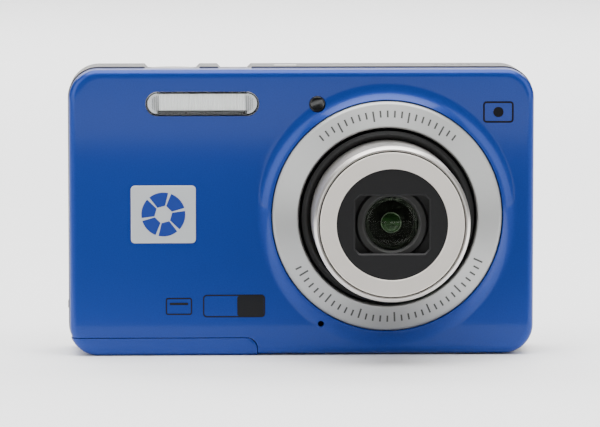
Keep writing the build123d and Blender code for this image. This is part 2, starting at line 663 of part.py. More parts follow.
with BuildPart() as battery_door:
    with BuildSketch(facing(HINGE_Y)):
        with Locations((0, HEIGHT / 2)):
            RectangleRounded(WIDTH, HEIGHT, CORNER_R)
    extrude(amount=HINGE_Y - FRONT_Y)
    fillet(battery_door.faces().sort_by(Axis.Y)[0].edges(), EDGE_R)
    add(door_cut(0), mode=Mode.INTERSECT)
    with BuildSketch(facing(HINGE_Y + 1)):
        with BuildLine():
            Polyline(
                (-WIDTH / 2 + WALL, CORNER_R - 1.2),
                (-WIDTH / 2 + WALL, CORNER_R - 1.9),
                (-WIDTH / 2 + CORNER_R - 1.9, DOOR_FLOOR),
                (0, DOOR_FLOOR),
                (0, CORNER_R - 1.2),
                close=True,
            )
        make_face()
    extrude(amount=HINGE_Y + 1 - FRONT_Y - WALL, mode=Mode.SUBTRACT)
    for left, right in DOOR_KNUCKLES:
        add(knuckle(left, right, HINGE_R))
    # the hinge bar's outer end follows the body's rounded corner
    add(shell_outline(BACK_Y, 0, BACK_Y - FRONT_Y + 1, CORNER_R), mode=Mode.INTERSECT)
    add(knuckle(SLIDER_LEFT - 0.15, SLIDER_RIGHT + 0.15, HINGE_R + 0.2), mode=Mode.SUBTRACT)
    slab((SLIDER_LEFT - 0.15, HINGE_Y - HINGE_R, -1), (SLIDER_RIGHT + 0.15, HINGE_Y + 5, 9), Mode.SUBTRACT)
    add(knuckle(PIN_LEFT - 0.2, 0, PIN_R + SLIDE_FIT), mode=Mode.SUBTRACT)

with BuildPart() as door_slider:
    add(knuckle(SLIDER_LEFT, SLIDER_RIGHT, HINGE_R))
    add(knuckle(PIN_LEFT, PIN_RIGHT, PIN_R))
    slab((SLIDER_LEFT, HINGE_Y - 0.7, HINGE_Z), (SLIDER_RIGHT, HINGE_Y + 0.7, 4.6))
    slab((SLIDER_LEFT - 2, 4.4, 4.0), (SLIDER_RIGHT + 2, HINGE_Y + 0.7, 4.6))

# ================= electronics =================

with BuildPart() as main_board:
    slab((-43.4, BOARD_Y, 7.0), (-4.0, BOARD_Y + 0.8, 51.4))
    slab((-35.0, BOARD_Y + 0.7, 28.0), (-24.0, BOARD_Y + 1.8, 39.0))
    slab((-20.0, BOARD_Y + 0.7, 20.0), (-10.0, BOARD_Y + 1.7, 27.0))
    slab((-16.0, BOARD_Y + 0.7, 34.0), (-8.0, BOARD_Y + 1.6, 46.0))

with BuildPart() as switch_boards:
    slab((-38.6, 6.4, 8.0), (-15.2, 6.8, 51.0))
    for x, z, radius in ROUND_KEYS:
        disc(x, z, radius - 0.6, 6.1, 6.95)
    slab((-31.0, -2.6, SWITCH_Z), (-9.5, 4.6, SWITCH_Z + 0.6))
    for x in (SHUTTER_X, POWER_X):
        upright(x, BUTTON_Y, 1.3, SWITCH_Z + 0.5, SWITCH_Z + 1.0)

with BuildPart() as port_connector:
    slab((-WIDTH / 2 + 1.2, BOARD_Y + 0.85, PORT_Z - 3.9), (-39.2, 7.0, PORT_Z + 3.9))
    slab((-WIDTH, 4.95, PORT_Z - 3.4), (-40.2, 6.7, PORT_Z + 3.4), Mode.SUBTRACT)
    slab((-43.9, 5.6, PORT_Z - 2.8), (-40.0, 6.05, PORT_Z + 2.8))

with BuildPart() as flash_window:
    with BuildSketch(facing(FRONT_Y + WALL + 0.2)):
        with Locations((FLASH_X, FLASH_Z)):
            RectangleRounded(FLASH_W, FLASH_H, FLASH_R)
    extrude(amount=WALL + 0.3)
    fillet(flash_window.faces().sort_by(Axis.Y)[0].edges(), 0.25)

with BuildPart() as flash_reflector:
    with BuildSketch(Plane.YZ.offset(FLASH_X - FLASH_W / 2 + 1)):
        with BuildLine():
            Polyline(
                (FLASH_FRONT, FLASH_Z + 2.6),
                (FLASH_FRONT + 3.4, FLASH_Z + 1.9),
                (FLASH_FRONT + 4.2, FLASH_Z),
                (FLASH_FRONT + 3.4, FLASH_Z - 1.9),
                (FLASH_FRONT, FLASH_Z - 2.6),
                (FLASH_FRONT, FLASH_Z - 2.2),
                (FLASH_FRONT + 3.1, FLASH_Z - 1.5),
                (FLASH_FRONT + 3.8, FLASH_Z),
                (FLASH_FRONT + 3.1, FLASH_Z + 1.5),
                (FLASH_FRONT, FLASH_Z + 2.2),
                close=True,
            )
        make_face()
    extrude(amount=FLASH_W - 2)

with BuildPart() as flash_tube:
    with BuildSketch(Plane.YZ.offset(FLASH_X - FLASH_W / 2 - 0.5)):
        with Locations((FLASH_FRONT + 2.2, FLASH_Z)):
            Circle(1.0)
    extrude(amount=FLASH_W + 1)

with BuildPart() as flash_capacitor:
    upright(40.2, -2.0, 3.2, 16.0, 42.0)
    upright(40.2, -2.0, 2.9, 42.0, 42.6)

with BuildPart() as focus_lamp:
    disc(LAMP_X, LAMP_Z, LAMP_R, FRONT_Y - 0.15, FRONT_Y + 2.2)
    fillet(focus_lamp.faces().sort_by(Axis.Y)[0].edges(), 0.3)

with BuildPart() as microphone:
    disc(MIC_X, MIC_Z, 2.0, FRONT_Y + WALL + 0.05, FRONT_Y + WALL + 1.6)
    disc(MIC_X, MIC_Z, 0.5, FRONT_Y + WALL - 0.5, FRONT_Y + WALL + 0.4, Mode.SUBTRACT)

with BuildPart() as speaker:
    upright(SPEAKER_X, BUTTON_Y, 4.2, 51.4, HEIGHT - FRAME_WALL - 0.1)

with BuildPart() as screen_panel:
    slab(
        (SCREEN_X - 27.0, BASE_BACK + 0.2, SCREEN_Z - 21.2),
        (SCREEN_X + 27.0, BACK_Y - BACK_WALL - 0.05, SCREEN_Z + 21.2),
    )

with BuildPart() as screen_glass:
    with BuildSketch(facing(BACK_Y - 0.05)):
        with Locations((SCREEN_X, SCREEN_Z)):
            RectangleRounded(SCREEN_W, SCREEN_H, 1.95)
    extrude(amount=BACK_WALL - 0.05)

# ================= controls =================

with BuildPart() as shutter_button:
    upright(SHUTTER_X, BUTTON_Y, SHUTTER_R, HEIGHT - FRAME_WALL - 0.5, HEIGHT - POCKET_DEPTH + 0.35)
    fillet(shutter_button.faces().sort_by(Axis.Z)[-1].edges(), 0.25)
    upright(SHUTTER_X, BUTTON_Y, SHUTTER_R + 0.35, HEIGHT - FRAME_WALL - 1.1, HEIGHT - FRAME_WALL - 0.2)
    upright(SHUTTER_X, BUTTON_Y, 1.2, SWITCH_Z + 1.6, HEIGHT - FRAME_WALL - 1.0)

with BuildPart() as power_button:
    upright(POWER_X, BUTTON_Y, POWER_R, SWITCH_Z + 1.6, HEIGHT - POCKET_DEPTH + 0.25)
    fillet(power_button.faces().sort_by(Axis.Z)[-1].edges(), 0.2)
    upright(POWER_X, BUTTON_Y, POWER_R + 0.5, HEIGHT - FRAME_WALL - 1.1, HEIGHT - FRAME_WALL - 0.2)


def round_key(x, z, radius):
    """A rear key: a slightly crowned cap with a retaining flange behind the cover's wall."""
    with BuildPart() as key:
        disc(x, z, radius, KEY_INNER, BACK_Y + 0.45)
        fillet(key.faces().sort_by(Axis.Y)[-1].edges(), 0.3)
        disc(x, z, radius + 0.5, KEY_INNER, KEY_INNER + 0.5)
    return key.part


with BuildPart() as record_button:
    add(round_key(*RECORD_KEY))

with BuildPart() as menu_button:
    add(round_key(*MENU_KEY))

with BuildPart() as mode_button:
    add(round_key(*MODE_KEY))

with BuildPart() as play_button:
    add(round_key(*PLAY_KEY))

with BuildPart() as zoom_rocker:
    with BuildSketch(facing(BACK_Y + 0.8)):
        with Locations((ROCKER_X, ROCKER_Z)):
            RectangleRounded(ROCKER_W, ROCKER_H, 1.3)
    extrude(amount=BACK_Y + 0.8 - KEY_INNER)
    # a shallow dish across the middle parts the two ends
    with BuildSketch(Plane.XY.offset(ROCKER_Z - ROCKER_H)):
        with Locations((ROCKER_X, BACK_Y + 0.8 + 11.6)):
            Circle(12.0)
    extrude(amount=2 * ROCKER_H, mode=Mode.SUBTRACT)
    with BuildSketch(facing(KEY_INNER + 0.4)):
        with Locations((ROCKER_X, ROCKER_Z)):
            RectangleRounded(ROCKER_W + 1.2, ROCKER_H + 1.2, 1.5)
    extrude(amount=0.4)

with BuildPart() as nav_pad:
    disc(PAD_X, PAD_Z, PAD_R, KEY_INNER, BACK_Y + 0.5)
    fillet(nav_pad.faces().sort_by(Axis.Y)[-1].edges(), 0.4)
    disc(PAD_X, PAD_Z, PAD_R + 0.6, KEY_INNER, KEY_INNER + 0.35)
    disc(PAD_X, PAD_Z, PAD_BORE, KEY_INNER - 1, BACK_Y + 2, Mode.SUBTRACT)

with BuildPart() as set_button:
    disc(PAD_X, PAD_Z, SET_R, KEY_INNER + 0.1, BACK_Y + 0.35)
    fillet(set_button.faces().sort_by(Axis.Y)[-1].edges(), 0.3)

# ================= files =================

PIECES = {
    "front_shell": front_shell,
    "middle_frame": middle_frame,
    "rear_cover": rear_cover,
    "lens_ring": lens_ring,
    "badge_plate": badge_plate,
    "strap_lug": strap_lug,
    "tripod_socket": tripod_socket,
    "case_screws": case_screws,
    "indicator_light": indicator_light,
    "port_cover": port_cover,
    "lens_base": lens_base,
    "cam_ring": cam_ring,
    "zoom_barrel": zoom_barrel,
    "front_barrel": front_barrel,
    "front_bezel": front_bezel,
    "barrier_plate": barrier_plate,
    "lens_holder": lens_holder,
    "front_lens": front_lens,
    "upper_barrier_blade": upper_barrier_blade,
    "lower_barrier_blade": lower_barrier_blade,
    "shutter_unit": shutter_unit,
    "middle_lens": middle_lens,
    "focus_frame": focus_frame,
    "focus_lens": focus_lens,
    "focus_screw": focus_screw,
    "focus_motor": focus_motor,
    "image_sensor": image_sensor,
    "sensor_plate": sensor_plate,
    "zoom_motor": zoom_motor,
    "motor_pinion": motor_pinion,
    "drive_gear": drive_gear,
    "battery": battery,
    "battery_case": battery_case,
    "battery_contacts": battery_contacts,
    "battery_latch": battery_latch,
    "card_slot": card_slot,
    "memory_card": memory_card,
    "battery_door": battery_door,
    "door_slider": door_slider,
    "main_board": main_board,
    "switch_boards": switch_boards,
    "port_connector": port_connector,
    "flash_window": flash_window,
    "flash_reflector": flash_reflector,
    "flash_tube": flash_tube,
    "flash_capacitor": flash_capacitor,
    "focus_lamp": focus_lamp,
    "microphone": microphone,
    "speaker": speaker,
    "screen_panel": screen_panel,
    "screen_glass": screen_glass,
    "shutter_button": shutter_button,
    "power_button": power_button,
    "record_button": record_button,
    "menu_button": menu_button,
    "mode_button": mode_button,
    "play_button": play_button,
    "zoom_rocker": zoom_rocker,
    "nav_pad": nav_pad,
    "set_button": set_button,
}

for name, piece in PIECES.items():
    piece.part.label = name
    export_step(piece.part, f"parts/{name}.step")
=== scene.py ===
import json
from math import atan2, cos, pi, radians, sin

import bmesh
import bpy
import numpy as np
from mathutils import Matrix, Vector


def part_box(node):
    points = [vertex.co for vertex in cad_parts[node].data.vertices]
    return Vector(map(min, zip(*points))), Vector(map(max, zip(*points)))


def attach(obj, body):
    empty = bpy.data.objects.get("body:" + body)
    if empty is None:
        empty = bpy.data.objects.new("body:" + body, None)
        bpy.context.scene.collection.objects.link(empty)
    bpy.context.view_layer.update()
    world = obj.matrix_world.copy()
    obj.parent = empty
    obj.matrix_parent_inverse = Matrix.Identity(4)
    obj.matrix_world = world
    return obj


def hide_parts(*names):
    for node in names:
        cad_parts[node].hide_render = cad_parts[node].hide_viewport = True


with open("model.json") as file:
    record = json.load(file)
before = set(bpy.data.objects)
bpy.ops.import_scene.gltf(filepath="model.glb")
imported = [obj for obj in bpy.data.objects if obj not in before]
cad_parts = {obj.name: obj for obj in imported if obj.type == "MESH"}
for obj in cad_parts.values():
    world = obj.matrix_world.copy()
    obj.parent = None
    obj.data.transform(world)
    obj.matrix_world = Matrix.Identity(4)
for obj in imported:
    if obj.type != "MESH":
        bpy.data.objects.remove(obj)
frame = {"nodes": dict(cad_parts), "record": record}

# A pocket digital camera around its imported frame. Lengths below are millimetres, turned to metres
# by MM as each mesh is written.

MM = 0.001
NODES = frame["nodes"]
BODIES = frame["record"]["behaviour"]["bodies"]
SLOTS = {part["node"]: part["material_slot"] for part in frame["record"]["subparts"]}
BODY_OF = {node: body for body, members in BODIES.items() for node in members}
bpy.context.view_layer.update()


def corners(node):
    """A CAD node's lowest and highest corners, in millimetres."""
    return tuple(np.array(corner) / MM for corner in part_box(node))


def middle(node):
    """The centre of a CAD node's box, in millimetres."""
    low, high = corners(node)
    return (low + high) / 2


# ---- sizes read from the frame ----
SHELL_LOW, SHELL_HIGH = corners("front_shell")
COVER_LOW, COVER_HIGH = corners("rear_cover")
RING_LOW, RING_HIGH = corners("lens_ring")
BARREL_LOW, BARREL_HIGH = corners("zoom_barrel")
BEZEL_LOW, BEZEL_HIGH = corners("front_bezel")
DISC_LOW, DISC_HIGH = corners("barrier_plate")
HOLDER_LOW, HOLDER_HIGH = corners("lens_holder")
LENS_LOW, LENS_HIGH = corners("front_lens")
FLASH_LOW, FLASH_HIGH = corners("flash_window")
LAMP_LOW, LAMP_HIGH = corners("focus_lamp")
BADGE_LOW, BADGE_HIGH = corners("badge_plate")
DOOR_END = corners("battery_door")[1][0]
MIC = middle("microphone")
LENS_X, _, LENS_Z = middle("lens_ring")
RING_R = (RING_HIGH[0] - RING_LOW[0]) / 2
BARREL_R = (BARREL_HIGH[0] - BARREL_LOW[0]) / 2
BEZEL_R = (BEZEL_HIGH[0] - BEZEL_LOW[0]) / 2
DISC_R = (DISC_HIGH[0] - DISC_LOW[0]) / 2
LENS_R = (LENS_HIGH[0] - LENS_LOW[0]) / 2
HALF_WIDTH = (COVER_HIGH[0] - COVER_LOW[0]) / 2
HEIGHT = COVER_HIGH[2]

# ---- sizes that the frame's boxes do not give ----
FRONT_Y = -9.5          # flat of the front shell
CORNER_R = 6.0          # body corners, seen from the front
EDGE_R = 1.5            # rolled edge of the front shell
SHELL_WALL = 1.0
FLARE_R = 25.8          # where the collar round the lens ring starts to rise
FLARE_TOP = -11.0       # the collar's highest depth
RING_BORE = 17.35
RING_FACE = -13.4       # inner, foremost edge of the ring's cone
RING_EDGE = -10.9       # outer edge of the ring's cone
DOOR_TOP = 3.65         # height of the cut that the battery door closes
DOOR_BOW = 2.2          # radius of that cut's upper corner
PRINT_PROUD = 0.02      # how far print stands out of the face it is on
PRINT_DEEP = 0.03


# ================= small tools =================


def linear(colour):
    """An sRGB hex colour such as "1f5094" as linear RGBA."""
    channels = [int(colour[i:i + 2], 16) / 255 for i in (0, 2, 4)]
    return [c / 12.92 if c <= 0.04045 else ((c + 0.055) / 1.055) ** 2.4 for c in channels] + [1.0]


def add_node(tree, kind, settings=None, **links):
    """Add a shader node. settings fill its properties or sockets; links join its input sockets."""
    node = tree.nodes.new(kind)
    for key, value in (settings or {}).items():
        if isinstance(key, int) or key in node.inputs:
            node.inputs[key].default_value = value
        else:
            setattr(node, key, value)
    for key, source in links.items():
        name = key.replace("_", " ")
        target = node.inputs[int(key[3:])] if key.startswith("in_") else node.inputs[name]
        tree.links.new(source, target)
    return node


def material(name, settings):
    """A material with a Principled shader, returned with its tree and shader."""
    made = bpy.data.materials.new(name)
    made.use_nodes = True
    tree = made.node_tree
    shader = tree.nodes["Principled BSDF"]
    for key, value in settings.items():
        shader.inputs[key].default_value = value
    return made, tree, shader


def grain(tree, shader, size_mm, rough, rough_swing, bump_mm=0.0):
    """Break up roughness, and the surface if bump_mm is given, with noise of that grain size."""
    place = add_node(tree, "ShaderNodeTexCoord")
    noise = add_node(tree, "ShaderNodeTexNoise", {"Scale": 1 / (size_mm * MM), "Detail": 3.0},
                     Vector=place.outputs["Object"])
    spread = add_node(tree, "ShaderNodeMapRange", {
        "To Min": rough - rough_swing, "To Max": rough + rough_swing, "From Min": 0.3, "From Max": 0.7,
    }, Value=noise.outputs["Fac"])
    tree.links.new(spread.outputs["Result"], shader.inputs["Roughness"])
    if bump_mm:
        bump = add_node(tree, "ShaderNodeBump", {"Strength": 1.0, "Distance": bump_mm * MM},
                        Height=noise.outputs["Fac"])
        tree.links.new(bump.outputs["Normal"], shader.inputs["Normal"])
    return noise


# ================= materials =================


def make_materials():
    """Every finish of the camera, by the record's slot name where one stands for it."""
    made = {}

    # Metallic lacquer on pressed aluminium: a bright flake coat under clear gloss. The flake is finer
    # than can show, so its sparkle is drawn at 0.25 mm.
    paint, tree, shader = material("blue_metallic_lacquer", {
        "Metallic": 0.35, "Specular IOR Level": 0.25,
        "Coat Weight": 0.22, "Coat Roughness": 0.06, "Coat IOR": 1.5,
    })
    noise = grain(tree, shader, 0.25, 0.34, 0.05)
    flake = add_node(tree, "ShaderNodeMix", {"data_type": "RGBA", 6: linear("0b2874"), 7: linear("12398c")},
                     in_0=noise.outputs["Fac"])
    tree.links.new(flake.outputs[2], shader.inputs["Base Color"])
    made["blue_shell"] = paint

    # Satin grey paint on ABS: fine spray texture, soft highlights.
    case, tree, shader = material("grey_satin_paint", {"Base Color": linear("565452"), "Metallic": 0.3})
    grain(tree, shader, 0.35, 0.42, 0.05, 0.004)
    made["grey_case"] = case

    # Bead-blasted, clear-anodised aluminium: an even, silky white metal with a fine pit texture.
    blasted, tree, shader = material("blasted_anodised_aluminium", {
        "Base Color": linear("a2a3a2"), "Metallic": 0.9,
    })
    grain(tree, shader, 0.22, 0.42, 0.05, 0.003)
    made["silver_ring"] = blasted

    # Turned, anodised aluminium: concentric tool marks, drawn at 0.18 mm because the real 0.03 mm
    # marks are too fine to show.
    turned, tree, shader = material("turned_anodised_aluminium", {
        "Base Color": linear("d4d0cb"), "Metallic": 0.92, "Roughness": 0.3, "Anisotropic": 0.35,
    })
    place = add_node(tree, "ShaderNodeTexCoord")
    centre = add_node(tree, "ShaderNodeMapping", {"Location": (-LENS_X * MM, 0, -LENS_Z * MM)},
                      Vector=place.outputs["Object"])
    squash = add_node(tree, "ShaderNodeVectorMath", {"operation": "MULTIPLY", 1: (1, 0, 1)},
                      in_0=centre.outputs["Vector"])
    reach = add_node(tree, "ShaderNodeVectorMath", {"operation": "LENGTH"}, in_0=squash.outputs["Vector"])
    marks = add_node(tree, "ShaderNodeTexNoise", {
        "noise_dimensions": "1D", "Scale": 1 / (0.18 * MM), "Detail": 2.0,
    }, W=reach.outputs["Value"])
    bump = add_node(tree, "ShaderNodeBump", {"Strength": 1.0, "Distance": 0.0015 * MM},
                    Height=marks.outputs["Fac"])
    tree.links.new(bump.outputs["Normal"], shader.inputs["Normal"])
    made["bright_barrel"] = turned

    # Non-metals with a weak, even sheen. Each row is a slot, a name, a colour and a roughness.
    for slot, name, colour, rough in (
        # moulded in a spark-eroded tool: matt, nearly black
        ("dark_plastic", "dark_grey_polycarbonate", "151516", 0.5),
        ("black_plastic", "black_polycarbonate", "080808", 0.55),
        # shrunk printed film: smoother than the mouldings
        ("battery_wrap", "battery_film", "1b1c20", 0.35),
        # moulded undyed acetal: creamy and waxy
        ("gear_plastic", "natural_acetal", "d9d5c4", 0.45),
        # moulded acrylic with white filler: an even pale glow
        ("white_light", "milky_light_guide", "e6e4dc", 0.35),
        # cured solder mask on glass fibre: satin green
        ("board", "green_solder_mask", "1d5a34", 0.35),
        # moulded silicone: dull and soft
        ("rubber", "grey_silicone_rubber", "7c7a77", 0.6),
        # sprayed satin paint on ABS keys: paler than the case
        ("button_silver", "button_satin_paint", "908e8b", 0.36),
        # pad-printed and filled-in inks: flat colour with no depth
        ("ink", "dark_print_ink", "020307", 0.5),
        ("ring_ink", "engraved_mark_fill", "3a3a39", 0.5),
        ("badge_ink", "badge_blue_print", "0a2a78", 0.4),
        # sprayed matt black that swallows stray light inside the lens
        ("felt", "black_anti_reflection_paint", "060604", 0.9),
    ):
        plain, tree, shader = material(name, {"Base Color": linear(colour), "Specular IOR Level": 0.3})
        grain(tree, shader, 0.3, rough, 0.06, 0.003)
        made[slot] = plain

    # Bare and plated metals, in the same four columns.
    for slot, name, colour, rough in (
        # pressed and zinc plated: a dull blue-grey shine
        ("steel", "zinc_plated_steel", "7e7f82", 0.38),
        # turned on a lathe: warm and fairly bright
        ("brass", "turned_brass", "c9a35a", 0.3),
        # aluminium vapour on moulded plastic: nearly a mirror
        ("reflector", "vacuum_metallised_reflector", "f0f0f0", 0.12),
    ):
        metal, tree, shader = material(name, {"Base Color": linear(colour), "Metallic": 1.0})
        grain(tree, shader, 0.4, rough, 0.05)
        made[slot] = metal

    # Turned front bezel, anodised: finer and paler than the barrel.
    bezel, tree, shader = material("turned_bezel_aluminium", {
        "Base Color": linear("ded8d0"), "Metallic": 0.5,
    })
    grain(tree, shader, 0.3, 0.33, 0.05, 0.002)
    made["turned_bezel"] = bezel

    # Small parts with their own sheen. Each row is a slot, a name, a colour, a roughness and the rest.
    for slot, name, colour, rough, rest in (
        # black anodised ring: slightly metallic, keeps the front element apart from its holder
        ("lens_retainer", "grey_anodised_retainer", "262625", 0.45, {"Metallic": 0.2}),
        # laminated display behind a polariser: deep grey-blue gloss
        ("display_glass", "polarised_display_glass", "12151a", 0.06, {"Specular IOR Level": 0.6}),
        # sprayed silver lacquer on the badge: satin and cool
        ("badge_silver", "satin_silver_badge_lacquer", "b4b8ba", 0.35, {"Metallic": 0.3}),
        # a real ring round the second element, coloured pale green as a painted reflection of the coating's
        # green
        ("pale_ring", "element_rim_painted_reflection", "a0ac9c", 0.3, {"Metallic": 0.2}),
        # the second element: a flat dark green, a painted reflection of its coating's green glint deep in the
        # lens
        ("second_element", "painted_green_glint_element", "24481e", 0.12, {}),
        # moulded smoked acrylic: a glossy black dot
        ("amber_lamp", "smoked_amber_lens", "0c0d0e", 0.08, {}),
        # pad-printed inks on the keys
        ("red_ink", "red_print_ink", "b3262a", 0.4, {}),
        ("sign_ink", "dark_grey_print_ink", "1c1c1e", 0.45, {}),
        # ribbed, frosted acrylic and the bright bowl behind it
        ("flash_diffuser", "frosted_flash_diffuser", "f2f2f0", 0.3, {"Metallic": 0.1}),
        ("flash_bowl", "bright_flash_bowl", "f4f4f4", 0.3, {"Metallic": 0.1}),
        # painted shade: flat near-black standing for the shade inside the flash, at the window's edge, the
        # bowl's ribs and the trough
        ("flash_shade", "painted_flash_shade", "070707", 0.6, {}),
    ):
        part, tree, shader = material(name, {"Base Color": linear(colour), **rest})
        grain(tree, shader, 0.5, rough, 0.02)
        made[slot] = part

    # Ground and multi-coated optical glass: nearly black with a green cast. Glass of 1.52 mirrors about
    # 4% head on. The index is set to 1.16, which mirrors about 0.5%, to stand for the coating, so the
    # glass also bends light less than the real one.
    made["optical_glass"], _, _ = material("coated_optical_glass", {
        "Base Color": linear("b4beb0"), "Roughness": 0.02, "Transmission Weight": 1.0, "IOR": 1.16,
    })

    # Clear moulded polycarbonate of the flash window. The index is set under the real 1.58 so that the
    # ribs behind it keep their contrast.
    made["clear_window"], _, _ = material("clear_polycarbonate", {
        "Base Color": linear("f4f6f6"), "Roughness": 0.03, "Transmission Weight": 1.0, "IOR": 1.2,
    })

    # Hard-coated acrylic screen cover, printed black behind: deep gloss with a slow ripple.
    screen, tree, shader = material("black_screen_cover", {
        "Base Color": linear("040506"), "Specular IOR Level": 0.35,
    })
    grain(tree, shader, 6.0, 0.09, 0.02)
    made["screen_glass"] = screen
    return made


FINISH = make_materials()


# ================= mesh tools =================


def finish_piece(mesh, name, body, slot, nodes=(), look=None, sharp=32.0, weighted=True):
    """Put a mesh in the scene as a piece: smooth shaded, in its finish, riding on its body."""
    for poly in mesh.polygons:
        poly.use_smooth = True
    mesh.set_sharp_from_angle(angle=radians(sharp))
    mesh.materials.clear()
    mesh.materials.append(FINISH[look or slot])
    piece = bpy.data.objects.new(name, mesh)
    bpy.context.scene.collection.objects.link(piece)
    if weighted:
        even = piece.modifiers.new("even_normals", "WEIGHTED_NORMAL")
        even.keep_sharp = True
        even.weight = 100
    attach(piece, body)
    if nodes:
        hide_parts(*nodes)
    return piece


def skin(node, look=None):
    """The CAD node's own shape with merged, evenly smoothed faces."""
    mesh = NODES[node].data.copy()
    work = bmesh.new()
    work.from_mesh(mesh)
    bmesh.ops.remove_doubles(work, verts=work.verts, dist=1e-6)
    bmesh.ops.dissolve_degenerate(work, dist=1e-7, edges=work.edges)
    work.to_mesh(mesh)
    work.free()
    return finish_piece(mesh, node + "_skin", BODY_OF[node], SLOTS[node], (node,), look, 28.0)


def grid(points, close_u=False, close_v=False):
    """A mesh of quads over a grid of points, shaped (u, v, 3), in millimetres."""
    rows, columns = points.shape[:2]
    index = np.arange(rows * columns).reshape(rows, columns)
    if close_u:
        index = np.vstack([index, index[:1]])
    if close_v:
        index = np.hstack([index, index[:, :1]])
    quads = np.stack([index[:-1, :-1], index[1:, :-1], index[1:, 1:], index[:-1, 1:]], axis=-1).reshape(-1, 4)
    mesh = bpy.data.meshes.new("grid")
    mesh.from_pydata((points.reshape(-1, 3) * MM).tolist(), [], quads.tolist())
    mesh.validate()
    return mesh


def outward(mesh):
    """Merge touching points and point every face outwards."""
    work = bmesh.new()
    work.from_mesh(mesh)
    bmesh.ops.remove_doubles(work, verts=work.verts, dist=2e-7)
    bmesh.ops.recalc_face_normals(work, faces=work.faces)
    work.to_mesh(mesh)
    work.free()
    return mesh


def rounded(corner_points, radius, steps=6):
    """A closed section whose corners are rounded: each corner is a quadratic curve between the
    points a radius away along its two sides."""
    points = np.array(corner_points, float)
    before, after = np.roll(points, 1, axis=0), np.roll(points, -1, axis=0)
    back, ahead = before - points, after - points
    back_len = np.linalg.norm(back, axis=1, keepdims=True)
    ahead_len = np.linalg.norm(ahead, axis=1, keepdims=True)
    start = points + back / back_len * np.minimum(radius, back_len * 0.45)
    end = points + ahead / ahead_len * np.minimum(radius, ahead_len * 0.45)
    t = np.linspace(0, 1, steps + 1)[None, :, None]
    curve = (1 - t) ** 2 * start[:, None] + 2 * t * (1 - t) * points[:, None] + t**2 * end[:, None]
    return curve.reshape(-1, 2)


def turned_piece(name, section, body, slot, nodes=(), look=None, segments=240):
    """A closed section of (radius, depth) points carried round the lens axis:
    x = lens x + r cos a, y = depth, z = lens z + r sin a."""
    section = np.array(section, float)
    angle = np.linspace(0, 2 * pi, segments, endpoint=False)[:, None]
    radius, depth = section[None, :, 0], section[None, :, 1]
    points = np.stack([
        LENS_X + radius * np.cos(angle),
        depth + 0 * angle,
        LENS_Z + radius * np.sin(angle),
    ], axis=-1)
    return finish_piece(outward(grid(points, True, True)), name, body, slot, nodes, look)


# ================= case =================


def outline_points(inset, count):
    """Points round the body's rounded rectangle, inset all round, on (x, z): they are spaced evenly
    by a measure that counts the corners four times over, so that the corners are smooth."""
    half_x, half_z, corner = HALF_WIDTH - inset, HEIGHT / 2 - inset, CORNER_R - inset
    straight_x, straight_z = 2 * (half_x - corner), 2 * (half_z - corner)
    arc = corner * pi / 2 * 4
    measure = np.cumsum([0, straight_x, arc, straight_z, arc, straight_x, arc, straight_z, arc])
    along = np.linspace(0, measure[-1], count, endpoint=False)
    side = np.searchsorted(measure, along, side="right") - 1
    part = (along - measure[side]) / np.diff(measure)[side]
    quarter, on_arc = side // 2, side % 2 == 1
    turn = quarter * pi / 2 + part * pi / 2
    centre_x = (half_x - corner) * np.array([1, 1, -1, -1])[quarter]
    centre_z = (half_z - corner) * np.array([-1, 1, 1, -1])[quarter]
    arc_x = centre_x + corner * np.sin(turn)
    arc_z = centre_z - corner * np.cos(turn)
    start_x = np.array([-1, 1, 1, -1])[quarter] * np.array([half_x - corner, half_x] * 2)[quarter]
    start_z = np.array([-1, -1, 1, 1])[quarter] * np.array([half_z, half_z - corner] * 2)[quarter]
    line_x = start_x + np.array([straight_x, 0, -straight_x, 0])[quarter] * part
    line_z = start_z + np.array([0, straight_z, 0, -straight_z])[quarter] * part
    return np.where(on_arc, arc_x, line_x), np.where(on_arc, arc_z, line_z) + HEIGHT / 2


def front_shell_grid(inset, back):
    """The front shell as one closed surface of (u, v). u goes round the body's outline. v goes from
    the rear edge, forward along the side, round the rolled edge, over the flat front towards the
    lens while the outline turns into a circle, up the trumpet collar, and back along the inside."""
    count = 720
    # outside: depth and inset of each station before the flat
    roll = np.linspace(0, pi / 2, 13)
    side = [(inset, back), (inset, back - 0.25), (inset, FRONT_Y + EDGE_R + 0.2)]
    side += [(inset + EDGE_R * (1 - cos(a)), FRONT_Y + EDGE_R * (1 - sin(a))) for a in roll]
    rows = []
    for step_in, depth in side:
        x, z = outline_points(step_in, count)
        rows.append(np.stack([x, np.full(count, depth), z], axis=-1))
    edge_x, edge_z = outline_points(inset + EDGE_R, count)
    angle = np.arctan2(edge_z - LENS_Z, edge_x - LENS_X)
    ring_x, ring_z = LENS_X + FLARE_R * np.cos(angle), LENS_Z + FLARE_R * np.sin(angle)
    for share in (0.02, 0.25, 0.5, 0.75, 0.97):
        x = edge_x + (ring_x - edge_x) * share
        z = edge_z + (ring_z - edge_z) * share
        rows.append(np.stack([x, np.full(count, FRONT_Y), z], axis=-1))
    # collar: the arc that leaves the flat smoothly at FLARE_R and ends at the ring's edge
    reach = FLARE_R - (RING_R + 0.27)
    rise = FRONT_Y - FLARE_TOP
    bend = (reach**2 + rise**2) / (2 * rise)
    collar = [(FLARE_R - bend * sin(a), FRONT_Y - bend * (1 - cos(a)))
              for a in np.linspace(0, 2 * atan2(rise, reach), 12)]
    bore = RING_R + 0.12
    collar += [(RING_R + 0.2, FLARE_TOP + 0.03), (bore, FLARE_TOP + 0.12), (bore, FRONT_Y + 0.4)]
    collar += [(bore, FRONT_Y + SHELL_WALL)]
    for radius, depth in collar:
        x, z = LENS_X + radius * np.cos(angle), LENS_Z + radius * np.sin(angle)
        rows.append(np.stack([x, np.full(count, depth), z], axis=-1))
    inner_x, inner_z = outline_points(inset + SHELL_WALL, count)
    for depth in (FRONT_Y + SHELL_WALL, back - 0.2, back):
        rows.append(np.stack([inner_x, np.full(count, depth), inner_z], axis=-1))
    return np.stack(rows, axis=1)


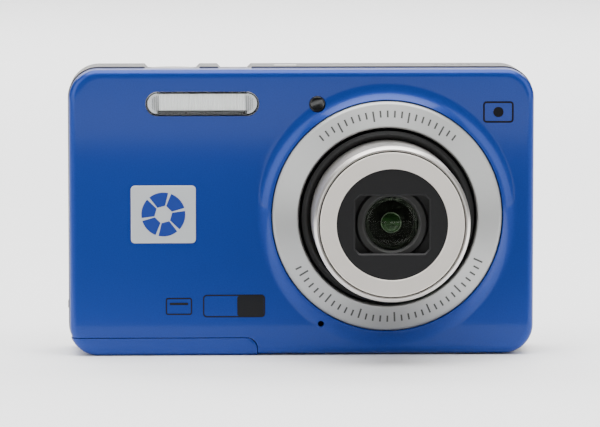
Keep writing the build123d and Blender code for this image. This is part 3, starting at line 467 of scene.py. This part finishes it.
def prism(outline, front, back):
    """A closed outline on (x, z), in millimetres, carried along the depth as a solid block."""
    outline = np.array(outline, float)
    count = len(outline)
    near = np.column_stack([outline[:, 0], np.full(count, front), outline[:, 1]])
    far = near.copy()
    far[:, 1] = back
    faces = [list(range(count)), list(range(2 * count - 1, count - 1, -1))]
    step = np.arange(count)
    ahead = (step + 1) % count
    faces += np.stack([step, step + count, ahead + count, ahead], axis=1).tolist()
    mesh = bpy.data.meshes.new("prism")
    mesh.from_pydata((np.vstack([near, far]) * MM).tolist(), [], faces)
    return outward(mesh)


def pill(x, z, width, height, radius, steps=12):
    """The outline of a rounded rectangle centred on (x, z): four arcs joined by straight sides."""
    half_x, half_z = width / 2 - radius, height / 2 - radius
    arcs = []
    for side_x, side_z, start in ((1, 1, 0), (-1, 1, pi / 2), (-1, -1, pi), (1, -1, 3 * pi / 2)):
        turn = np.linspace(0, pi / 2, steps) + start
        arcs.append(np.column_stack([
            x + side_x * half_x + radius * np.cos(turn), z + side_z * half_z + radius * np.sin(turn),
        ]))
    return np.vstack(arcs)


def cut(piece, cutters):
    """Take solid blocks out of a piece, exactly, and drop the blocks."""
    for mesh in cutters:
        block = bpy.data.objects.new("block", mesh)
        bpy.context.scene.collection.objects.link(block)
        step = piece.modifiers.new("cut", "BOOLEAN")
        step.operation = "DIFFERENCE"
        step.solver = "EXACT"
        step.object = block
        bpy.context.view_layer.update()
        result = bpy.data.meshes.new_from_object(piece.evaluated_get(bpy.context.evaluated_depsgraph_get()))
        piece.modifiers.clear()
        piece.data = result
        bpy.data.objects.remove(block)


def make_front_shell():
    """The lacquered front, with openings for the flash, lamp, microphone, badge and battery door."""
    inset = (COVER_HIGH[0] - COVER_LOW[0] - SHELL_HIGH[0] + SHELL_LOW[0]) / 2
    mesh = outward(grid(front_shell_grid(inset, SHELL_HIGH[1]), True, True))
    raw = bpy.data.objects.new("raw_shell", mesh)
    bpy.context.scene.collection.objects.link(raw)
    flash, badge = middle("flash_window"), middle("badge_plate")
    flash_w, flash_h = FLASH_HIGH[0] - FLASH_LOW[0], FLASH_HIGH[2] - FLASH_LOW[2]
    badge_w, badge_h = BADGE_HIGH[0] - BADGE_LOW[0], BADGE_HIGH[2] - BADGE_LOW[2]
    lamp = middle("focus_lamp")
    lamp_r = (LAMP_HIGH[0] - LAMP_LOW[0]) / 2
    # the door's opening: a block whose upper corner is a quarter circle, run out past the shell's side
    lip = DOOR_END + 0.15
    turn = np.linspace(0, pi / 2, 10)
    centre_x, centre_z = lip - DOOR_BOW, DOOR_TOP - DOOR_BOW
    bow = np.column_stack([centre_x + DOOR_BOW * np.cos(turn), centre_z + DOOR_BOW * np.sin(turn)])
    door = np.vstack([[(-60, -2), (lip, -2)], bow, [(-60, DOOR_TOP)]])
    cut(raw, [
        prism(pill(flash[0], flash[2], flash_w + 0.1, flash_h + 0.1, 2.38), -13, -6),
        prism(pill(lamp[0], lamp[2], 2 * lamp_r + 0.14, 2 * lamp_r + 0.14, lamp_r + 0.07, 24), -13, -6),
        prism(pill(MIC[0], MIC[2], 1.2, 1.2, 0.6, 12), -13, -6),
        prism(pill(badge[0], badge[2], badge_w + 0.1, badge_h + 0.1, 0.8), -13, FRONT_Y + 0.35),
        prism(door, -13, 0),
    ])
    shell = raw.data
    bpy.data.objects.remove(raw)
    finish_piece(shell, "lacquered_front", "body", "blue_shell", ("front_shell",), sharp=30)


# ================= lens =================


def make_lens():
    """The lens ring, the two barrels and the front group, each turned about the lens axis."""
    turned_piece("ring_round_lens", rounded([
        (RING_BORE, RING_FACE + 0.4), (RING_BORE + 0.3, RING_FACE), (RING_R - 0.55, RING_EDGE - 0.35),
        (RING_R, RING_EDGE + 0.1), (RING_R, RING_HIGH[1]), (RING_BORE, RING_HIGH[1]),
    ], 0.14), "body", "silver_ring", ("lens_ring",))
    bore = BEZEL_R + 0.12
    turned_piece("outer_zoom_barrel", rounded([
        (bore, BARREL_LOW[1]), (bore + 0.34, BARREL_LOW[1]), (BARREL_R, BARREL_LOW[1] + 0.75),
        (BARREL_R, BARREL_HIGH[1]), (bore, BARREL_HIGH[1]),
    ], 0.1), "zoom_barrel", "bright_barrel", ("zoom_barrel",))
    face = BEZEL_LOW[1]
    turned_piece("front_bezel_ring", rounded([
        (DISC_R + 0.05, face + 0.16), (DISC_R + 0.2, face), (BEZEL_R - 0.12, face),
        (BEZEL_R - 0.12, BEZEL_HIGH[1]),
        (DISC_R + 0.05, BEZEL_HIGH[1]),
    ], 0.16), "front_barrel", "silver_ring", ("front_bezel",), "turned_bezel")
    lip = HOLDER_LOW[1]
    outer = (HOLDER_HIGH[0] - HOLDER_LOW[0]) / 2
    turned_piece("front_lens_holder", rounded([
        (LENS_R - 0.9, HOLDER_HIGH[1]), (LENS_R - 0.9, lip + 2.45), (LENS_R + 0.06, lip + 2.45),
        (LENS_R + 0.06, lip + 0.5), (LENS_R + 0.5, lip), (LENS_R + 1.5, lip), (LENS_R + 1.9, lip + 0.85),
        (outer, lip + 0.85), (outer, HOLDER_HIGH[1]),
    ], 0.1), "front_barrel", SLOTS["lens_holder"], ("lens_holder",), "lens_retainer")
    # the front element: a spherical cap of the lens's radius and rise over a shallow hollow back
    crown, rim = LENS_LOW[1], LENS_LOW[1] + 1.15
    bend = (LENS_R**2 + 1.15**2) / (2 * 1.15)
    sweep = np.linspace(0.002, np.arcsin(LENS_R / bend), 28)
    dome = np.column_stack([bend * np.sin(sweep), crown + bend * (1 - np.cos(sweep))])
    hollow = np.linspace(LENS_R - 1.6, 0.01, 12)
    back = np.column_stack([hollow, LENS_HIGH[1] - 0.6 + 0.6 * (hollow / (LENS_R - 1.6)) ** 2])
    profile = np.vstack([dome, [(LENS_R, rim + 0.2), (LENS_R, LENS_HIGH[1])], back])
    turned_piece("front_element", profile, "front_barrel", "optical_glass", ("front_lens",), segments=128)
    # the second element and its retaining ring, seen through the first; their green and pale green are a
    # painted reflection of the coating
    second = np.linspace(0.002, 0.62, 16)
    dome = np.column_stack([1.8 * np.sin(second) / sin(0.62), LENS_HIGH[1] + 1.6 - 1.1 * np.cos(second)])
    profile = np.vstack([dome, [(1.8, LENS_HIGH[1] + 1.2), (0.01, LENS_HIGH[1] + 1.2)]])
    turned_piece("second_element", profile, "front_barrel", "optical_glass", look="second_element",
                 segments=96)
    turned_piece("second_element_ring", rounded([
        (1.78, LENS_HIGH[1] + 0.5), (1.86, LENS_HIGH[1] + 0.44), (1.94, LENS_HIGH[1] + 0.5),
        (1.94, LENS_HIGH[1] + 0.75), (1.78, LENS_HIGH[1] + 0.75),
    ], 0.03), "front_barrel", "dark_plastic", look="pale_ring", segments=96)


def make_baffle():
    """A matt black cone that closes the space round the second element."""
    low = LENS_HIGH[1]
    turned_piece("element_baffle", [
        (1.95, low + 0.7), (4.1, low + 0.15), (4.1, low + 0.35), (1.95, low + 0.9),
    ], "front_barrel", "black_plastic", look="felt", segments=96)


def make_ring_marks():
    """Scale marks on the ring's cone in place of lettering: short radial bars, each of 8 corners at
    angle a +/- half its width, between two radii, lying on the cone and 0.02 mm proud of it."""
    upper = np.radians(np.arange(50, 131, 4.0))
    lower = np.radians(np.arange(210, 335, 4.0))
    angle = np.concatenate([upper, lower])[:, None, None]
    longer = (np.arange(len(angle)) % 5 == 2)[:, None, None]
    near = np.where(longer, 18.7, 19.4)
    far = 20.7
    width = 0.17
    side = np.array([-1, 1, 1, -1] * 2)[None, :, None] * width
    outside = np.array([0, 0, 1, 1] * 2)[None, :, None]
    proud = np.array([0.05, 0.05, 0.05, 0.05, -0.025, -0.025, -0.025, -0.025])[None, :, None]
    radius = near + (far - near) * outside
    slope = (RING_EDGE - 0.35 - RING_FACE) / (RING_R - 0.55 - RING_BORE - 0.3)
    depth = RING_FACE + (radius - RING_BORE - 0.3) * slope + proud
    points = np.concatenate([
        LENS_X + radius * np.cos(angle) - side * np.sin(angle),
        depth,
        LENS_Z + radius * np.sin(angle) + side * np.cos(angle),
    ], axis=2)
    box = np.array([[0, 1, 2, 3], [7, 6, 5, 4], [0, 4, 5, 1], [1, 5, 6, 2], [2, 6, 7, 3], [3, 7, 4, 0]])
    faces = (np.arange(len(points))[:, None, None] * 8 + box).reshape(-1, 4)
    mesh = bpy.data.meshes.new("marks")
    mesh.from_pydata((points.reshape(-1, 3) * MM).tolist(), [], faces.tolist())
    finish_piece(outward(mesh), "ring_scale_marks", "body", "silver_ring", look="ring_ink", weighted=False)


# ================= front fittings =================


def bevelled(piece, width, segments=3):
    """Round the piece's edges with a Bevel of this width in millimetres."""
    step = piece.modifiers.new("round_edges", "BEVEL")
    step.width = width * MM
    step.segments = segments
    step.limit_method = "ANGLE"
    step.angle_limit = radians(40)


def make_flash():
    """The flash: a clear rounded cover over a diffuser of fine upright ribs."""
    x, _, z = middle("flash_window")
    width, height = FLASH_HIGH[0] - FLASH_LOW[0], FLASH_HIGH[2] - FLASH_LOW[2]
    front = FLASH_LOW[1]
    cover = finish_piece(prism(pill(x, z, width, height, 2.33), front, front + 0.45), "flash_cover", "body",
                         "clear_window", ("flash_window",), weighted=False)
    bevelled(cover, 0.2)
    # diffuser: depth = a row of round-topped ribs 0.55 mm apart across the width
    across = np.linspace(-width / 2 + 2.6, width / 2 - 2.6, 577)
    ribs = front + 0.6 + 0.16 * np.abs(np.sin(across * pi / 0.55))
    flat = np.full(len(across), front + 1.15)
    points = np.stack([
        np.stack([x + across, depth, np.full(len(across), z + up)], axis=-1)
        for up, depth in ((-1.35, ribs), (1.95, ribs), (1.95, flat), (-1.35, flat))
    ], axis=1)
    mesh = grid(points, False, True)
    work = bmesh.new()
    work.from_mesh(mesh)
    bmesh.ops.holes_fill(work, edges=[edge for edge in work.edges if edge.is_boundary], sides=0)
    work.to_mesh(mesh)
    work.free()
    finish_piece(outward(mesh), "flash_diffuser", "body", "clear_window", look="flash_diffuser", sharp=50,
                 weighted=False)
    # a near-black pill just behind the cover's edge, painted shade round the window; then the bright bowl
    # ends beside the diffuser
    rim = prism(pill(x, z, width - 0.1, height - 0.1, 2.28), front + 1.16, front + 1.28)
    finish_piece(rim, "flash_rim_shade", "body", "dark_plastic", look="flash_shade", weighted=False)
    back = prism(pill(x, z, width - 0.75, height - 0.75, 1.95), front + 1.02, front + 1.14)
    finish_piece(back, "flash_bowl", "body", "reflector", look="flash_bowl", weighted=False)
    # thin near-black upright bars at each end of the bowl: painted shade between its ribs
    for side, name in ((-1, "left"), (1, "right")):
        rib_x = x + side * (width / 2 - 1.95)
        for step in range(4):
            tall = 3.1 - 0.5 * max(step - 1, 0)
            line = pill(rib_x + side * 0.38 * step - side * 0.5, z, 0.07, tall, 0.03, 3)
            finish_piece(prism(line, front + 0.75, front + 1.05), f"flash_{name}_rib_{step + 1}", "body",
                         "clear_window", look="flash_shade", weighted=False)
    # two near-black bands, below the diffuser and along its top: painted shade inside the flash
    for name, up, tall in (("flash_trough_shade", -1.72, 0.85), ("flash_lid_shade_line", 2.0, 0.16)):
        band = prism(pill(x, z + up, width - 4.6, tall, 0.07, 4), front + 0.55, front + 1.06)
        finish_piece(band, name, "body", "dark_plastic", look="flash_shade", weighted=False)


def make_badge():
    """A silver badge plate with a plain six-bladed aperture sign instead of any mark."""
    x, _, z = middle("badge_plate")
    width, height = BADGE_HIGH[0] - BADGE_LOW[0], BADGE_HIGH[2] - BADGE_LOW[2]
    front = BADGE_LOW[1]
    plate = finish_piece(prism(pill(x, z, width, height, 0.8), front, BADGE_HIGH[1]), "badge", "body",
                         "badge_silver", ("badge_plate",), weighted=False)
    bevelled(plate, 0.12, 2)
    # each blade runs from one corner of the inner hexagon out to the round rim
    for blade in range(6):
        start = blade * pi / 3 + 0.2
        rim = np.linspace(start + 0.1, start + pi / 3 - 0.04, 10)
        curve = np.column_stack([4.3 * np.cos(rim), 4.3 * np.sin(rim)])
        inner = np.array([
            (1.75 * cos(start + pi / 3), 1.75 * sin(start + pi / 3)),
            (1.75 * cos(start + 0.12), 1.75 * sin(start + 0.12)),
        ])
        sign = np.vstack([curve, inner]) + (x, z)
        finish_piece(prism(sign, front - 0.03, front + 0.05), f"badge_blade_{blade + 1}", "body",
                     "badge_silver", look="badge_ink", weighted=False)


def frame_outline(x, z, width, height, radius, line):
    """A rounded rectangle drawn as a closed band: a section of four points, outer and inner at the
    front and then at the back, carried round the outline. line is the band's width."""
    outer = pill(x, z, width, height, radius)
    inner = pill(x, z, width - 2 * line, height - 2 * line, max(radius - line, 0.05))
    front, back = FRONT_Y - PRINT_PROUD, FRONT_Y + PRINT_DEEP
    points = np.stack([
        np.column_stack([loop[:, 0], np.full(len(loop), depth), loop[:, 1]])
        for loop, depth in ((outer, front), (inner, front), (inner, back), (outer, back))
    ])
    return outward(grid(points, True, True))


def make_front_print():
    """Small plain pictograms printed on the lacquer: a card, a boxed panel and a film gate."""
    front, back = FRONT_Y - PRINT_PROUD, FRONT_Y + PRINT_DEEP
    shapes = {
        "print_box_line": frame_outline(-13.3, 9.85, 12.2, 4.5, 0.8, 0.28),
        "print_box_fill": prism(pill(-10.1, 9.85, 5.2, 4.0, 0.5), front, back),
        "print_card_line": frame_outline(-24.1, 9.8, 5.2, 3.4, 0.5, 0.3),
        "print_card_bar": prism(pill(-24.1, 10.3, 3.6, 0.5, 0.1), front, back),
        "print_gate_line": frame_outline(38.4, 47.8, 6.0, 4.2, 0.7, 0.35),
        "print_gate_dot": prism(pill(38.4, 47.8, 2.0, 2.0, 0.98), front, back),
    }
    for name, mesh in shapes.items():
        finish_piece(mesh, name, "body", "blue_shell", look="ink", weighted=False)


# ================= rear print =================


def make_screen_window():
    """The display's dark active area: a thin plate let into its cover, PRINT_PROUD out of its face."""
    low, high = corners("screen_glass")
    width, height = high[0] - low[0] - 5.0, high[2] - low[2] - 5.0
    outline = pill((low[0] + high[0]) / 2, (low[2] + high[2]) / 2, width, height, 0.3, 4)
    window = prism(outline, high[1] - 0.05, high[1] + PRINT_PROUD)
    finish_piece(window, "display_window", "body", "screen_glass", look="display_glass", weighted=False)


def make_rear_print():
    """Plain control signs on the rear: a red dot, three bars, a square and a triangle on the keys,
    and an arrowhead on each side of the four-way pad."""
    signs = []
    for key, kind in (("record_button", "dot"), ("menu_button", "bars"), ("mode_button", "square"),
                      ("play_button", "triangle")):
        x, _, z = middle(key)
        face = corners(key)[1][1]
        turn = np.linspace(0, 2 * pi, 24, endpoint=False)
        if kind == "dot":
            dot = np.column_stack([x + 0.75 * np.cos(turn), z + 0.75 * np.sin(turn)])
            signs.append((key, "a", dot, face, "red_ink"))
        elif kind == "bars":
            for up, label in ((0.7, "a"), (0, "b"), (-0.7, "c")):
                signs.append((key, label, pill(x, z + up, 2.0, 0.3, 0.1, 4), face, "sign_ink"))
        elif kind == "square":
            signs.append((key, "a", pill(x, z, 1.7, 1.3, 0.2, 5), face, "sign_ink"))
        else:
            wedge = np.array([(x + 0.9, z - 0.85), (x + 0.9, z + 0.85), (x - 0.8, z)])
            signs.append((key, "a", wedge, face, "sign_ink"))
    # a small arrowhead on each side of the four-way pad
    pad_x, _, pad_z = middle("nav_pad")
    pad_face = corners("nav_pad")[1][1]
    for side, label in enumerate(("right", "up", "left", "down")):
        reach = np.array([7.0, 6.1, 6.1])
        base = side * pi / 2 + np.array([0, 0.1, -0.1])
        arrow = np.column_stack([pad_x + reach * np.cos(base), pad_z + reach * np.sin(base)])
        signs.append(("nav_pad", label, arrow, pad_face, "sign_ink"))
    for key, label, outline, face, look in signs:
        finish_piece(prism(outline, face - 0.05, face + PRINT_PROUD), f"{key}_sign_{label}", BODY_OF[key],
                     SLOTS[key], look=look, weighted=False)


# ================= carried-over parts =================

# seen from outside or through an opening: re-meshed copies with even shading
SKINNED = (
    "middle_frame", "rear_cover", "battery_door", "strap_lug", "tripod_socket", "case_screws",
    "indicator_light", "port_cover", "cam_ring", "barrier_plate", "upper_barrier_blade",
    "lower_barrier_blade", "screen_glass", "shutter_button", "power_button", "record_button",
    "menu_button", "mode_button", "play_button", "zoom_rocker", "nav_pad", "set_button",
    "focus_lamp", "microphone", "front_barrel", "shutter_unit", "door_slider", "battery_latch",
)
# the copies whose finish is not the one that their slot stands for
OWN_LOOK = {
    # cam_ring: the real dark sleeve, set to black to stand also for the shade in the gap between ring and
    # barrel, partly painted shade
    "cam_ring": "black_plastic", "focus_lamp": "amber_lamp", "microphone": "felt",
    "front_barrel": "black_plastic",
}
for node in SKINNED:
    skin(node, OWN_LOOK.get(node))
for node, cad in NODES.items():
    for holder in cad.material_slots:
        holder.material = FINISH[SLOTS[node]]

make_front_shell()
make_lens()
make_baffle()
make_ring_marks()
make_flash()
make_badge()
make_front_print()
make_rear_print()
make_screen_window()

# ================= floor, light and camera =================


def make_sweep():
    """A seamless white sweep: flat floor, a quarter circle of 300 mm radius, then an upright wall.
    It is cut across in three. The strip in front of the object is hidden from glossy rays, which no
    real floor is, so that the flat lacquer does not mirror white and keeps its depth of colour."""
    # Uncoated backdrop paper: white and fully matt.
    paper, tree, shader = material("white_backdrop_paper", {
        "Base Color": linear("fbfbfb"), "Specular IOR Level": 0.1,
    })
    grain(tree, shader, 1.5, 0.9, 0.03)
    bend = np.linspace(0, pi / 2, 24)
    rise = [(1900 + 300 * sin(a), 300 * (1 - cos(a))) for a in bend]
    for name, section, in_gloss in (
        ("floor_far", [(-2400, 0), (-545, 0)], True),
        ("floor_strip", [(-545, 0), (-60, 0)], False),
        ("floor_sweep", [(-60, 0)] + rise + [(2200, 1600)], True),
    ):
        run = np.array(section, float)[:, None, :]
        across = np.array([-2400.0, 2400.0])[None, :]
        depth, height = run[..., 0], run[..., 1]
        points = np.stack([across + 0 * depth, depth + 0 * across, height + 0 * across], axis=-1)
        mesh = grid(points)
        for poly in mesh.polygons:
            poly.use_smooth = True
        mesh.materials.append(paper)
        sweep = bpy.data.objects.new(name, mesh)
        bpy.context.scene.collection.objects.link(sweep)
        sweep.visible_glossy = in_gloss


def softbox(name, place_mm, aim_mm, width_mm, height_mm, watts):
    """A rectangular studio light at place_mm that faces aim_mm."""
    lamp = bpy.data.lights.new(name, "AREA")
    lamp.shape = "RECTANGLE"
    lamp.size = width_mm * MM
    lamp.size_y = height_mm * MM
    lamp.energy = watts
    holder = bpy.data.objects.new(name, lamp)
    bpy.context.scene.collection.objects.link(holder)
    holder.location = Vector(place_mm) * MM
    holder.rotation_euler = (Vector(aim_mm) - Vector(place_mm)).to_track_quat("-Z", "Y").to_euler()


def make_studio():
    """Soft light from above and both sides on a bright surround."""
    make_sweep()
    middle_point = (0, 0, 28)
    softbox("top_light", (0, -120, 620), middle_point, 700, 500, 8.0)
    softbox("left_light", (-620, -420, 300), middle_point, 640, 640, 4.0)
    softbox("right_light", (640, -360, 300), middle_point, 640, 640, 3.4)
    softbox("backdrop_light", (0, 1050, 1000), (0, 1050, 0), 2400, 1300, 60.0)
    # a low panel far in front, hidden from the camera, which only the upper edge of the lacquer
    # mirrors, as a lighter band
    softbox("low_panel", (0, -760, 3), (0, -760, 500), 2400, 430, 9.0)
    bpy.data.objects["low_panel"].visible_camera = False
    world = bpy.data.worlds.new("studio_air")
    bpy.context.scene.world = world
    world.use_nodes = True
    world.node_tree.nodes["Background"].inputs["Color"].default_value = linear("ffffff")
    world.node_tree.nodes["Background"].inputs["Strength"].default_value = 0.10


def make_camera():
    """A long lens a little above and to the left of the camera's front."""
    yaw, pitch, reach = radians(1.91), radians(5.24), 800.1
    target = Vector((-0.39, -9.5, 28.0))
    away = Vector((-sin(yaw) * cos(pitch), -cos(yaw) * cos(pitch), sin(pitch)))
    view = bpy.data.cameras.new("view")
    view.sensor_width = 36
    view.lens = 245.5
    view.clip_start = 0.05
    eye = bpy.data.objects.new("view", view)
    bpy.context.scene.collection.objects.link(eye)
    eye.location = (target + away * reach) * MM
    eye.rotation_euler = (-away).to_track_quat("-Z", "Y").to_euler()
    bpy.context.scene.camera = eye


make_studio()
make_camera()
